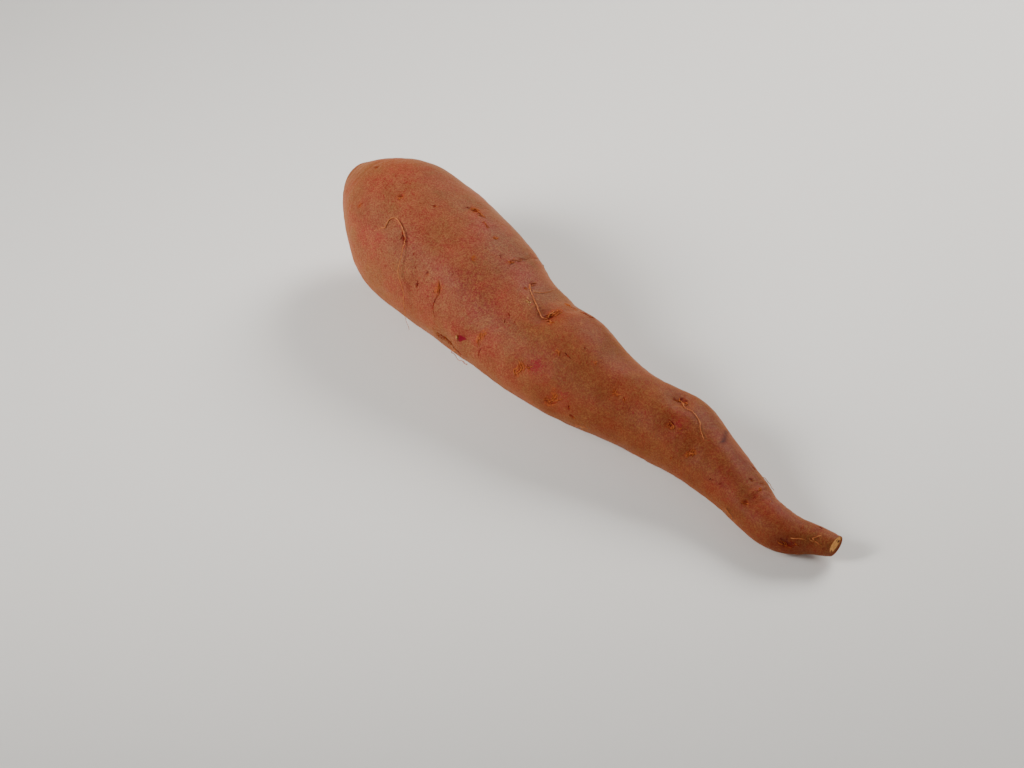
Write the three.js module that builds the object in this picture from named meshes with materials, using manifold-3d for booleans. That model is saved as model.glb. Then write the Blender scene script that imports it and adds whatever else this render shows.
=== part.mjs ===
// A long sweet potato lying on its side: a storage root that is fat near the vine end, bends
// gently from side to side, and runs out into a thin tail that was cut through.
// Millimetres, +Z up, +X from the fat vine end towards the cut tail, and the origin under the
// middle of its box. It grew as one piece, so it is one solid: the body with its swellings,
// root scars and creases, the flat spot it rests on, and the rootlets rooted in its skin.
import * as THREE from "three";
import { mergeVertices } from "three/addons/utils/BufferGeometryUtils.js";
import Module from "manifold-3d";

const wasm = await Module();
wasm.setup();

// Driving dimensions. A place on the skin is given as its distance along the root from the vine
// scar, and its turn in degrees from the top towards the near side, which is -Y.
const LENGTH = 270; // vine scar to cut tail
const HALF_WIDTH = 30.6; // of the fattest place
const HEIGHT_SHARE = 0.95; // a section's height against its width
const RINGS = 96; // along the skin, both ends included
const SIDES = 40; // round the root
const SCAR_WIDE = 1.18; // a root scar's reach round the root against its size
const SCAR_LONG = 0.8; // the same along the root
const LIP_HIGH = 0.28; // of a scar's lip, against the scar's depth
const LIP_AT = 1.7; // where the lip stands, in reaches from the middle of the scar
const LIP_REACH = 0.6;
const SCAB_WIDE = 0.6; // a scab's half width round the root against its scar's size
const SCAB_LONG = 0.36; // the same along the root
const SCAB_HIGH = 0.8; // half its thickness, most of it under the skin
const ROOTLET_HALF = 0.42; // half the thickness of a rootlet
const ROOTLET_SIDES = 5;
const ROOTLET_STEP = 2.6; // between the rings of a rootlet
const ROOTLET_LIFT = 0.9; // of a rootlet's middle above the skin it lies along
const ROOTLET_SUNK = 2.2; // how deep it is rooted

// The outline, from the middle of the vine scar to the middle of the cut.
const OUTLINE = [
  { at: 1.6, half: 0 },
  { at: 1.0, half: 3.6 },
  { at: 0, half: 6.4 },
  { at: 1.0, half: 8.4 },
  { at: 4.2, half: 12.0 },
  { at: 10, half: 17.4 },
  { at: 18, half: 22.8 },
  { at: 29, half: 27.5 },
  { at: 45, half: HALF_WIDTH },
  { at: 62, half: 30.2 },
  { at: 81, half: 28.2 },
  { at: 100, half: 25.0 },
  { at: 116, half: 23.2 },
  { at: 136, half: 21.8 },
  { at: 153, half: 18.8 },
  { at: 171, half: 16.5 },
  { at: 189, half: 16.0 },
  { at: 206, half: 13.5 },
  { at: 224, half: 11.0 },
  { at: 236, half: 9.8 },
  { at: 246, half: 9.2 },
  { at: 254, half: 8.0 },
  { at: 261, half: 6.2 },
  { at: 267, half: 5.2 },
  { at: LENGTH, half: 4.7 },
  { at: LENGTH - 0.2, half: 3.8 },
  { at: LENGTH - 0.8, half: 0 },
];

// The spine: how far it swings to the near side, and how high it runs above the table.
const SPINE = [
  { at: 0, near: -2.0, high: 37.0 },
  { at: 28, near: 0, high: 33.5 },
  { at: 45, near: 2.1, high: 30.4 },
  { at: 62, near: 3.6, high: 28.4 },
  { at: 81, near: 5.8, high: 26.4 },
  { at: 100, near: 8.0, high: 23.4 },
  { at: 116, near: 9.4, high: 22.2 },
  { at: 136, near: 9.2, high: 22.0 },
  { at: 153, near: 8.3, high: 19.8 },
  { at: 171, near: 5.8, high: 18.0 },
  { at: 189, near: 2.8, high: 16.8 },
  { at: 206, near: 2.5, high: 13.8 },
  { at: 224, near: 4.7, high: 10.8 },
  { at: 236, near: 7.4, high: 9.4 },
  { at: 246, near: 8.4, high: 8.7 },
  { at: 254, near: 6.6, high: 8.1 },
  { at: 261, near: 2.4, high: 7.6 },
  { at: LENGTH, near: -1.0, high: 7.6 },
];

// Low waves that cover the whole skin: their height, their length along the root, the number
// of times they repeat round it, and their shift in radians.
const WAVES = [
  { height: 0.35, length: 56, round: 2, shift: 0 },
  { height: 0.3, length: 35, round: -3, shift: 1 },
  { height: 0.3, length: 195, round: 5, shift: 1.6 },
];

// Broad swellings and, where the height is negative, hollows. Spread is the reach along the root
// and round it.
const SWELLINGS = [
  { at: 40, turn: 60, height: -0.8, spread: [20, 12] },
  { at: 78, turn: 127, height: -1.7, spread: [13, 16] },
  { at: 103, turn: 122, height: -1.3, spread: [12, 12] },
  { at: 90, turn: 30, height: 0.9, spread: [16, 14] },
  { at: 119, turn: -30, height: -1.1, spread: [9, 11] },
  { at: 137, turn: -56, height: 0.9, spread: [11, 12] },
  { at: 128, turn: 40, height: -0.6, spread: [14, 10] },
  { at: 158, turn: 60, height: 0.7, spread: [14, 10] },
  { at: 172, turn: -56, height: -0.8, spread: [9, 9] },
  { at: 193, turn: -54, height: 1.1, spread: [9, 9] },
  { at: 188, turn: -8, height: -0.8, spread: [7, 6] },
  { at: 214, turn: 20, height: 0.5, spread: [10, 8] },
  { at: 232, turn: -60, height: 0.6, spread: [5, 7] },
  { at: 239, turn: -50, height: -0.5, spread: [4, 7] },
  { at: 60, turn: -120, height: -1.0, spread: [22, 12] },
  { at: 95, turn: -100, height: 0.9, spread: [18, 12] },
  { at: 150, turn: -140, height: -0.7, spread: [12, 10] },
  { at: 175, turn: 170, height: 0.4, spread: [12, 8] },
];

// Root scars of the top and near side: shallow pits with a raised lip and a scab in the middle.
const SCARS = [
  { at: 36, turn: 18, size: 3.6, deep: 0.9 },
  { at: 54, turn: 43, size: 3.8, deep: 1.1 },
  { at: 61, turn: -19, size: 4.2, deep: 0.9 },
  { at: 71, turn: 63, size: 3.0, deep: 0.7 },
  { at: 81, turn: 58, size: 4.2, deep: 1.1 },
  { at: 92, turn: 97, size: 4.8, deep: 1.3 },
  { at: 101, turn: 78, size: 3.4, deep: 0.9 },
  { at: 106, turn: -17, size: 3.8, deep: 0.8 },
  { at: 124, turn: 1, size: 4.8, deep: 1.5 },
  { at: 127, turn: -32, size: 3.6, deep: 0.8 },
  { at: 127, turn: 72, size: 4.4, deep: 1.0 },
  { at: 144, turn: 82, size: 4.6, deep: 1.2 },
  { at: 164, turn: 26, size: 3.8, deep: 0.8 },
  { at: 187, turn: -14, size: 4.0, deep: 1.2 },
  { at: 190, turn: 31, size: 3.8, deep: 0.9 },
  { at: 204, turn: 46, size: 3.2, deep: 0.8 },
  { at: 229, turn: -11, size: 2.6, deep: 0.6 },
  { at: 235, turn: 22, size: 2.8, deep: 0.8 },
  { at: 253, turn: 75, size: 2.6, deep: 0.8 },
];

// The far side's scars stand in rows, as roots do: the turn of each row, where the first begins,
// the usual step between two scars, how far one may stray, and its depth against its size.
const FAR_ROWS = [-165, -122, -78, 142];
const FAR_FIRST = 20;
const FAR_STEP = 34;
const FAR_STRAY = 8;
const FAR_DEPTH = 0.3;

// Rootlets: where each is rooted and the places it passes, as [distance along, turn] pairs.
const ROOTLETS = [
  [[35, 66], [40, 52], [43, 41], [47, 35], [54, 42], [58, 56], [60, 68], [65, 77], [69, 88], [70, 102]],
  [[125, 3], [124, 8], [120, 6], [114, -4], [106, -11]],
  [[124, -3], [125, -9], [121, -16]],
  [[187, -12], [190, -3], [192, -7], [196, -3], [200, 9], [204, 15]],
  [[100, 101], [97, 108], [100, 116], [104, 108]],
  [[226, 76], [230, 82], [235, 88]],
  [[257, 54], [261, 44], [264, 20]],
  [[227, -50], [231, -62], [235, -58]],
  [[4, 150], [9, 170], [17, 160], [24, 178], [33, 170]],
  [[3, -70], [8, -95], [15, -88], [21, -104], [30, -98], [36, -108]],
  [[78, -122], [85, -132], [92, -120], [101, -128], [108, -118]],
  [[136, -78], [131, -90], [137, -101], [146, -104]],
  [[165, -165], [171, -150], [180, -140], [186, -146]],
];

const UP = new THREE.Vector3(0, 0, 1);

// A repeatable draw from 0 to 1.
function seededDraw(seed) {
  let state = seed;
  return () => {
    state = (state * 16807) % 2147483647;
    return state / 2147483647;
  };
}

// One measure of a list of stations as a smooth function of the distance along the root.
function smooth(stations, measure) {
  const at = Float32Array.from(stations, (s) => s.at);
  const values = Float32Array.from(stations, (s) => s[measure]);
  const curve = new THREE.CubicInterpolant(at, values, 1, new Float32Array(1));
  return (distance) => curve.evaluate(distance)[0];
}

const nearAt = smooth(SPINE, "near");
const highAt = smooth(SPINE, "high");
// The outline folds back at both scars, so its width is read from the stretch between them.
const halfAt = smooth(OUTLINE.slice(2, -2), "half");

// The spine's point at a distance along the root, with the ways to the near side and up that
// lie square to the spine there.
function section(distance) {
  const point = (d) => new THREE.Vector3(d, -nearAt(d), highAt(d));
  const step = 0.5;
  const ahead = point(distance + step).sub(point(distance - step)).normalize();
  const near = new THREE.Vector3().crossVectors(ahead, UP).normalize();
  const up = new THREE.Vector3().crossVectors(near, ahead);
  return { centre: point(distance), near, up };
}

// The point of the root at a distance along it, a turn in radians, and a distance out.
function place(distance, turn, out) {
  const { centre, near, up } = section(distance);
  centre.addScaledVector(near, out * Math.sin(turn));
  return centre.addScaledVector(up, out * Math.cos(turn) * HEIGHT_SHARE);
}

// How far a place lies from a feature, along the root and round its skin.
function offset(feature, distance, turn) {
  const apart = turn - THREE.MathUtils.degToRad(feature.turn);
  const round = Math.atan2(Math.sin(apart), Math.cos(apart)) * halfAt(feature.at);
  return [distance - feature.at, round];
}

function farScars() {
  const draw = seededDraw(417);
  const found = [];
  FAR_ROWS.forEach((rowTurn, row) => {
    let next = FAR_FIRST + (row * FAR_STEP) / FAR_ROWS.length;
    while (next < LENGTH - FAR_STEP) {
      const size = (2.2 + draw()) * (0.5 + (0.9 * halfAt(next)) / HALF_WIDTH);
      const at = next + draw() * FAR_STRAY;
      const turn = rowTurn + (2 * draw() - 1) * FAR_STRAY;
      found.push({ at, turn, size, deep: size * FAR_DEPTH });
      next += FAR_STEP * (0.8 + draw() * 0.5);
    }
  });
  return found;
}

const scars = [...SCARS, ...farScars()];

// How far the skin stands off the plain outline at a place.
function relief(distance, turn) {
  let height = 0;
  for (const wave of WAVES) {
    const phase = (2 * Math.PI * distance) / wave.length + wave.round * turn + wave.shift;
    height += wave.height * Math.sin(phase) * (halfAt(distance) / HALF_WIDTH);
  }
  for (const swelling of SWELLINGS) {
    const [lengthways, round] = offset(swelling, distance, turn);
    const [long, wide] = swelling.spread;
    height += swelling.height * Math.exp(-((lengthways / long) ** 2) - (round / wide) ** 2);
  }
  for (const scar of scars) {
    const [lengthways, round] = offset(scar, distance, turn);
    const away = Math.hypot(lengthways / SCAR_LONG, round / SCAR_WIDE) / scar.size;
    height -= scar.deep * Math.exp(-(away ** 2));
    height += scar.deep * LIP_HIGH * Math.exp(-(((away - LIP_AT) / LIP_REACH) ** 2));
  }
  return height;
}

// A closed geometry as a solid.
function solidFrom(geometry) {
  geometry.deleteAttribute("normal");
  geometry.deleteAttribute("uv");
  const merged = mergeVertices(geometry, 1e-3);
  return new wasm.Manifold(new wasm.Mesh({
    numProp: 3,
    vertProperties: merged.getAttribute("position").array,
    triVerts: new Uint32Array(merged.index.array),
  }));
}

// The body: the outline turned about an axis, given its relief, and laid along the spine.
function body() {
  const corners = OUTLINE.map((o) => new THREE.Vector3(o.half, o.at, 0));
  const curve = new THREE.CatmullRomCurve3(corners, false, "centripetal");
  const profile = curve.getSpacedPoints(RINGS).map((p) => new THREE.Vector2(p.x, p.y));
  profile[0].x = 0;
  profile[RINGS].x = 0;
  const lathe = new THREE.LatheGeometry(profile, SIDES);
  const position = lathe.getAttribute("position");
  for (let i = 0; i < position.count; i++) {
    const distance = position.getY(i);
    const turn = Math.atan2(position.getX(i), position.getZ(i));
    const out = Math.hypot(position.getX(i), position.getZ(i));
    const fade = THREE.MathUtils.smoothstep(out, 1, 8);
    const { x, y, z } = place(distance, turn, out + fade * relief(distance, turn));
    position.setXYZ(i, x, y, z);
  }
  return solidFrom(lathe);
}

// A scab: the corky tissue that a lost root leaves in the middle of its scar.
function scab({ at, turn, size }) {
  const angle = THREE.MathUtils.degToRad(turn);
  const { near, up } = section(at);
  const out = near.clone().multiplyScalar(Math.sin(angle)).addScaledVector(up, Math.cos(angle));
  const ahead = new THREE.Vector3().crossVectors(up, near);
  const round = new THREE.Vector3().crossVectors(ahead, out);
  const lump = new THREE.SphereGeometry(1, 5, 3);
  lump.scale(size * SCAB_WIDE, size * SCAB_LONG, SCAB_HIGH);
  lump.applyMatrix4(new THREE.Matrix4().makeBasis(round, ahead, out));
  const { x, y, z } = place(at, angle, halfAt(at) + relief(at, angle));
  return solidFrom(lump.translate(x, y, z));
}

// A rootlet: rooted under the skin at its first place, then lying just clear of the skin.
function rootlet(places) {
  const route = new THREE.CatmullRomCurve3(places.map(([at, turn]) => new THREE.Vector3(at, turn, 0)));
  const count = places.length * 3;
  const points = route.getPoints(count).map((p, i) => {
    const turn = THREE.MathUtils.degToRad(p.y);
    const lift = i === 0 ? -ROOTLET_SUNK : ROOTLET_LIFT + 0.25 * Math.sin(i * 1.3);
    return place(p.x, turn, halfAt(p.x) + relief(p.x, turn) + lift);
  });
  const path = new THREE.CatmullRomCurve3(points, false, "centripetal");
  const ring = new THREE.Shape();
  for (let i = 0; i < ROOTLET_SIDES; i++) {
    const turn = (i / ROOTLET_SIDES) * 2 * Math.PI;
    ring[i ? "lineTo" : "moveTo"](ROOTLET_HALF * Math.cos(turn), ROOTLET_HALF * Math.sin(turn));
  }
  const steps = Math.ceil(path.getLength() / ROOTLET_STEP);
  return solidFrom(new THREE.ExtrudeGeometry(ring, { steps, bevelEnabled: false, extrudePath: path }));
}

// All that would lie below the table, which is cut off to leave the flat spots it rests on.
function table() {
  const block = new THREE.BoxGeometry(2 * LENGTH, LENGTH, LENGTH / 2);
  return solidFrom(block.translate(LENGTH / 2, 0, -LENGTH / 4));
}

function sweetPotato() {
  let whole = body();
  for (const scar of scars) whole = whole.add(scab(scar));
  for (const places of ROOTLETS) whole = whole.add(rootlet(places));
  const { vertProperties, triVerts } = whole.subtract(table()).getMesh();
  const geometry = new THREE.BufferGeometry();
  geometry.setAttribute("position", new THREE.BufferAttribute(vertProperties, 3));
  geometry.setIndex(new THREE.BufferAttribute(triVerts, 1));
  geometry.computeBoundingBox();
  const middle = geometry.boundingBox.getCenter(new THREE.Vector3());
  geometry.translate(-middle.x, -middle.y, 0);
  const skin = new THREE.MeshStandardMaterial({ color: 0x9a5c41, roughness: 0.8, metalness: 0 });
  const mesh = new THREE.Mesh(geometry, skin);
  mesh.name = "sweet_potato";
  return mesh;
}

const part = new THREE.Group();
part.add(sweetPotato());

export default part;
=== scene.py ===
# %% [markdown]
# A long raw sweet potato. This lesson dresses a plain, measured model of it: the model says where
# the root is and how it bends, and stays untouched, while a finer skin is modelled over it.
# A place on the skin is given the way a grower would: how far along the root it lies from the
# vine scar, in millimetres, and how far it is turned from the top towards the near side, in
# degrees. Everything else is in metres.

# %% Load the measured model
import math
import random

import bpy
import numpy as np
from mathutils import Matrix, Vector, noise
from mathutils.bvhtree import BVHTree


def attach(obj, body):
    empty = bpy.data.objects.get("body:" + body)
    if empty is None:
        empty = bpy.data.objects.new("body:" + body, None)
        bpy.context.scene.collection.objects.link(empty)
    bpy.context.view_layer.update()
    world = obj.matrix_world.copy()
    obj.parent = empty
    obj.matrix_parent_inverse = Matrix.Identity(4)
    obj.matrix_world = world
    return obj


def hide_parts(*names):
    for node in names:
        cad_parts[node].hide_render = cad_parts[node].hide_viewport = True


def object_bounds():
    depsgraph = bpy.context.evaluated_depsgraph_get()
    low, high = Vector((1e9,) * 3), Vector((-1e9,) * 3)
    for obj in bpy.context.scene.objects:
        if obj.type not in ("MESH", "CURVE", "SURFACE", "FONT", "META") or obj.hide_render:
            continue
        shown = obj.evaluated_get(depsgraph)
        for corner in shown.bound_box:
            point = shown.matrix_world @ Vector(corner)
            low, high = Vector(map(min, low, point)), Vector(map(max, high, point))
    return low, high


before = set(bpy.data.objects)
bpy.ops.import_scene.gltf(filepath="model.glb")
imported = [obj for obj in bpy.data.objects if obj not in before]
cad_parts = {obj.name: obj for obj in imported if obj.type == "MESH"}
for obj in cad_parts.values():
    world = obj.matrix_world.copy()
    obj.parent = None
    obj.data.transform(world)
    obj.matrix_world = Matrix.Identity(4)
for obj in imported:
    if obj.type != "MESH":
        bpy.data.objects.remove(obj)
cad_low, cad_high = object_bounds()
MM = 0.001
NODE = "sweet_potato"
cad_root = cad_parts[NODE]
print("the measured root is", [round(v / MM) for v in cad_high - cad_low], "mm")

# %% [markdown]
# The spine is the root's middle line. It swings from side to side and sinks towards the tail,
# because the fat end lifts it off the table. The outline is the half width beside it. Both are
# read as smooth curves, so that any place between two stations is known.

# %% The spine and the outline
# distance along, swing to the near side, height above the table, in mm
SPINE = [
    (0, -2.0, 37.0), (28, 0, 33.5), (45, 2.1, 30.4), (62, 3.6, 28.4), (81, 5.8, 26.4),
    (100, 8.0, 23.4), (116, 9.4, 22.2), (136, 9.2, 22.0), (153, 8.3, 19.8), (171, 5.8, 18.0),
    (189, 2.8, 16.8), (206, 2.5, 13.8), (224, 4.7, 10.8), (236, 7.4, 9.4), (246, 8.4, 8.7),
    (254, 6.6, 8.1), (261, 2.4, 7.6), (270, -1.0, 7.6),
]
# distance along, half width, in mm
OUTLINE = [
    (0, 6.4), (1.0, 8.4), (4.2, 12.0), (10, 17.4), (18, 22.8), (29, 27.5), (45, 30.6),
    (62, 30.2), (81, 28.2), (100, 25.0), (116, 23.2), (136, 21.8), (153, 18.8), (171, 16.5),
    (189, 16.0), (206, 13.5), (224, 11.0), (236, 9.8), (246, 9.2), (254, 8.0), (261, 6.2),
    (267, 5.2), (270, 4.7),
]
LENGTH = SPINE[-1][0]
HEIGHT_SHARE = 0.95  # of a section's height against its width
RIM_STANDS_IN = 0.38  # how far the vine scar's rim stands inside the model's end, in mm
START = cad_low.x / MM + RIM_STANDS_IN


def curve_through(stations, column):
    """A smooth curve through one column of a list of stations."""
    at = np.array([s[0] for s in stations], float)
    value = np.array([s[column] for s in stations], float)
    slope = np.gradient(value, at)

    def read(distance):
        i = np.clip(np.searchsorted(at, distance) - 1, 0, len(at) - 2)
        wide = at[i + 1] - at[i]
        t = (distance - at[i]) / wide
        ease = t * t * (3 - 2 * t)
        leave = slope[i] * wide * t * (1 - t) ** 2
        arrive = slope[i + 1] * wide * t * t * (t - 1)
        return value[i] * (1 - ease) + value[i + 1] * ease + leave + arrive

    return read


near_at = curve_through(SPINE, 1)
high_at = curve_through(SPINE, 2)
half_at = curve_through(OUTLINE, 1)
SPINE_ZERO = 2.55  # how far behind the middle of the model's box the spine's zero lies, in mm
SWING = (cad_low.y + cad_high.y) / 2 / MM + SPINE_ZERO


def spine_point(distance):
    """The spine's points, in mm, at an array of distances."""
    distance = np.asarray(distance, float)
    return np.stack([START + distance, SWING - near_at(distance), high_at(distance)], -1)


def section(distance):
    """The spine's point and the ways ahead, to the near side and up there."""
    ahead = spine_point(distance + 0.5) - spine_point(distance - 0.5)
    ahead /= np.linalg.norm(ahead, axis=-1, keepdims=True)
    near = np.cross(ahead, [0.0, 0.0, 1.0])
    near /= np.linalg.norm(near, axis=-1, keepdims=True)
    return spine_point(distance), ahead, near, np.cross(near, ahead)


print("the spine runs", LENGTH, "mm, from", spine_point(0).round(1),
      "to", spine_point(LENGTH).round(1))

# %% [markdown]
# The body starts as a circle at the vine scar. It is extruded ring by ring along the spine, each
# ring moved, swollen and turned to follow the root, as one would by hand. Extruding keeps the
# rings square to the root, so later detail can follow its length and its girth. Only the last
# rings turn further, to the slant of the knife that cut the tail.

# %% Extrude the body ring by ring
SIDES = 28
HEAD_STOPS = [0.0, 0.5, 1.5, 3.6, 6.6, 10.4, 15.0]  # close rings round the vine scar, in mm
EVEN_FROM = 20.4
EVEN_RINGS = 39
TAIL_RIM = 2.2  # from the last even ring to the tail's end, in mm
TAIL_STOPS = [0.7, 0.25, 0.0]  # before the tail's end, in mm
CUT_TURN = math.radians(-17)  # the knife's slant, about the vertical
SLANT_OVER = 1.8  # how much of the tail turns into the slant, in mm


def select_only(piece):
    bpy.ops.object.select_all(action="DESELECT")
    piece.select_set(True)
    bpy.context.view_layer.objects.active = piece


def metres(point):
    return tuple(float(v) * MM for v in point)


def heading(distance):
    """How far a ring at a distance is turned about Z, in radians."""
    _, ahead, _, _ = section(distance)
    slant = CUT_TURN * min(1.0, max(0.0, (distance - LENGTH + TAIL_RIM) / SLANT_OVER))
    return math.atan2(ahead[1], ahead[0]) + slant


def facing(distance):
    """The level way ahead, square to a ring at a distance."""
    return np.array([math.cos(heading(distance)), math.sin(heading(distance)), 0.0])


bpy.ops.object.select_all(action="DESELECT")
bpy.ops.mesh.primitive_circle_add(
    vertices=SIDES,
    radius=half_at(0.0) * MM,
    location=metres(spine_point(0.0)),
    rotation=(0, math.pi / 2, heading(0.0)),
)
skin = bpy.context.object
skin.name = "skin"
bpy.ops.object.transform_apply(location=True, rotation=True, scale=True)
bpy.ops.object.mode_set(mode="EDIT")
bpy.ops.mesh.select_all(action="SELECT")
bpy.ops.transform.resize(value=(1, 1, HEIGHT_SHARE), center_override=metres(spine_point(0.0)))
stops = HEAD_STOPS + [float(d) for d in np.linspace(EVEN_FROM, LENGTH - TAIL_RIM, EVEN_RINGS)]
stops += [LENGTH - before for before in TAIL_STOPS]
for here, there in zip(stops, stops[1:]):
    step = spine_point(there) - spine_point(here)
    bpy.ops.mesh.extrude_region_move(TRANSFORM_OT_translate={"value": metres(step)})
    middle = metres(spine_point(there))
    swell = half_at(there) / half_at(here)
    bpy.ops.transform.resize(value=(swell, swell, swell), center_override=middle)
    bend = heading(there) - heading(here)
    bpy.ops.transform.rotate(value=-bend, orient_axis="Z", center_override=middle)
print("the cage has", len(stops), "rings of", SIDES)

# %% [markdown]
# Both ends are open rings. Each is filled with one face, which is inset to hold the rim crisp,
# sunk in a little, and closed at a pole. The fat end carries a shallow round vine scar, and the
# tail is a clean cut.

# %% Close the two ends
# width of an inset and its move ahead, in mm, from the rim inwards
CUT_INSETS = [(0.3, -0.05), (0.5, -0.25), (1.8, -0.1)]
SCAR_INSETS = [(0.6, 0.3), (2.4, 0.9)]


def close_end(first_vertex, at, insets):
    """Fills the ring that starts at a vertex and insets it step by step."""
    bpy.ops.mesh.select_all(action="DESELECT")
    bpy.ops.mesh.select_mode(type="VERT")
    bpy.ops.object.mode_set(mode="OBJECT")
    for vertex in skin.data.vertices:
        vertex.select = first_vertex <= vertex.index < first_vertex + SIDES
    bpy.ops.object.mode_set(mode="EDIT")
    bpy.ops.mesh.edge_face_add()
    for wide, move in insets:
        bpy.ops.mesh.inset(thickness=wide * MM, depth=0)
        bpy.ops.transform.translate(value=metres(facing(at) * move))
    bpy.ops.mesh.poke()


last_ring = (len(stops) - 1) * SIDES
close_end(last_ring, LENGTH, CUT_INSETS)
close_end(0, 0, SCAR_INSETS)
bpy.ops.mesh.select_all(action="SELECT")
bpy.ops.mesh.normals_make_consistent(inside=False)
bpy.ops.object.mode_set(mode="OBJECT")
print("the closed cage has", len(skin.data.polygons), "faces of at most",
      max(len(face.vertices) for face in skin.data.polygons), "sides")

# %% [markdown]
# The cage is subdivided, drawn in a little, and shrink-wrapped out onto the measured model. It
# starts from inside, so that the nearest surface is always the skin and never one of the rootlets
# that stand clear of it. Two vertex groups leave the ends out, where drawing in would fold the
# close rings of the rims over each other. One more subdivision melts the flat facets into skin.

# %% Wrap the body onto the measured model


def add_modifier(piece, kind, **settings):
    """Adds a modifier with its settings and applies it."""
    select_only(piece)
    modifier = piece.modifiers.new(kind.title(), kind)
    for key, value in settings.items():
        setattr(modifier, key, value)
    bpy.ops.object.modifier_apply(modifier=modifier.name)


def read_vertices(piece, what="co"):
    values = np.zeros(len(piece.data.vertices) * 3, np.float32)
    piece.data.vertices.foreach_get(what, values)
    return values.reshape(-1, 3).astype(float)


def weigh(name, from_end, start, full):
    """A vertex group that fades in between two distances from the ends."""
    group = skin.vertex_groups.new(name=name)
    weights = np.clip((from_end - start) / (full - start), 0, 1)
    for index in np.flatnonzero(weights):
        group.add([int(index)], float(weights[index]), "REPLACE")


def from_ends(points):
    """How far points, in mm, lie from the nearer end's plane."""
    gaps = []
    for at in (0.0, float(LENGTH)):
        gaps.append(np.abs((points - spine_point(at)) @ facing(at)))
    return np.minimum(*gaps)


DRAWN_IN = 1.6 * MM
add_modifier(skin, "SUBSURF", levels=2, render_levels=2)
gap = from_ends(read_vertices(skin) / MM)
weigh("drawn in", gap, start=2.5, full=5.0)
weigh("wrapped", gap, start=0.7, full=2.2)
add_modifier(skin, "DISPLACE", strength=-DRAWN_IN, mid_level=0, vertex_group="drawn in")
add_modifier(
    skin, "SHRINKWRAP", target=cad_root, wrap_method="NEAREST_SURFACEPOINT", vertex_group="wrapped"
)
add_modifier(skin, "SMOOTH", factor=0.5, iterations=2)
add_modifier(skin, "SUBSURF", levels=1, render_levels=1)
print("the skin has", sum(len(face.vertices) - 2 for face in skin.data.polygons), "triangles")

# %% [markdown]
# Every vertex now gets its place on the root: its distance along and its turn. All marks of the
# skin are laid out in these two numbers, and the materials read the distance too, so that a
# pattern follows the bends of the root.

# %% Find each vertex's distance and turn


def places_of(points):
    """The distance along and the turn, in mm and radians, of points in mm."""
    distance = points[:, 0] - START
    for _ in range(6):  # each pass slides the guess along the spine, closer to the nearest spot
        distance = np.clip(distance, 0.0, LENGTH)
        centre, ahead, near, up = section(distance)
        distance = distance + ((points - centre) * ahead).sum(-1)
    offset = points - centre
    return distance, np.arctan2((offset * near).sum(-1), (offset * up).sum(-1) / HEIGHT_SHARE)


points = read_vertices(skin) / MM
along, turn = places_of(points)
print("places run from", along.min().round(1), "to", along.max().round(1), "mm")

# %% [markdown]
# The marks of the skin. Where a side root broke away there is a pit, a corky crust or both. A
# mark is given by its place, its half length along the root, its half width round it, how far it
# leans, and how much crust, how much dark bark and how deep a pit it has. These marks of the near
# side stand where this root has them.

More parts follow.
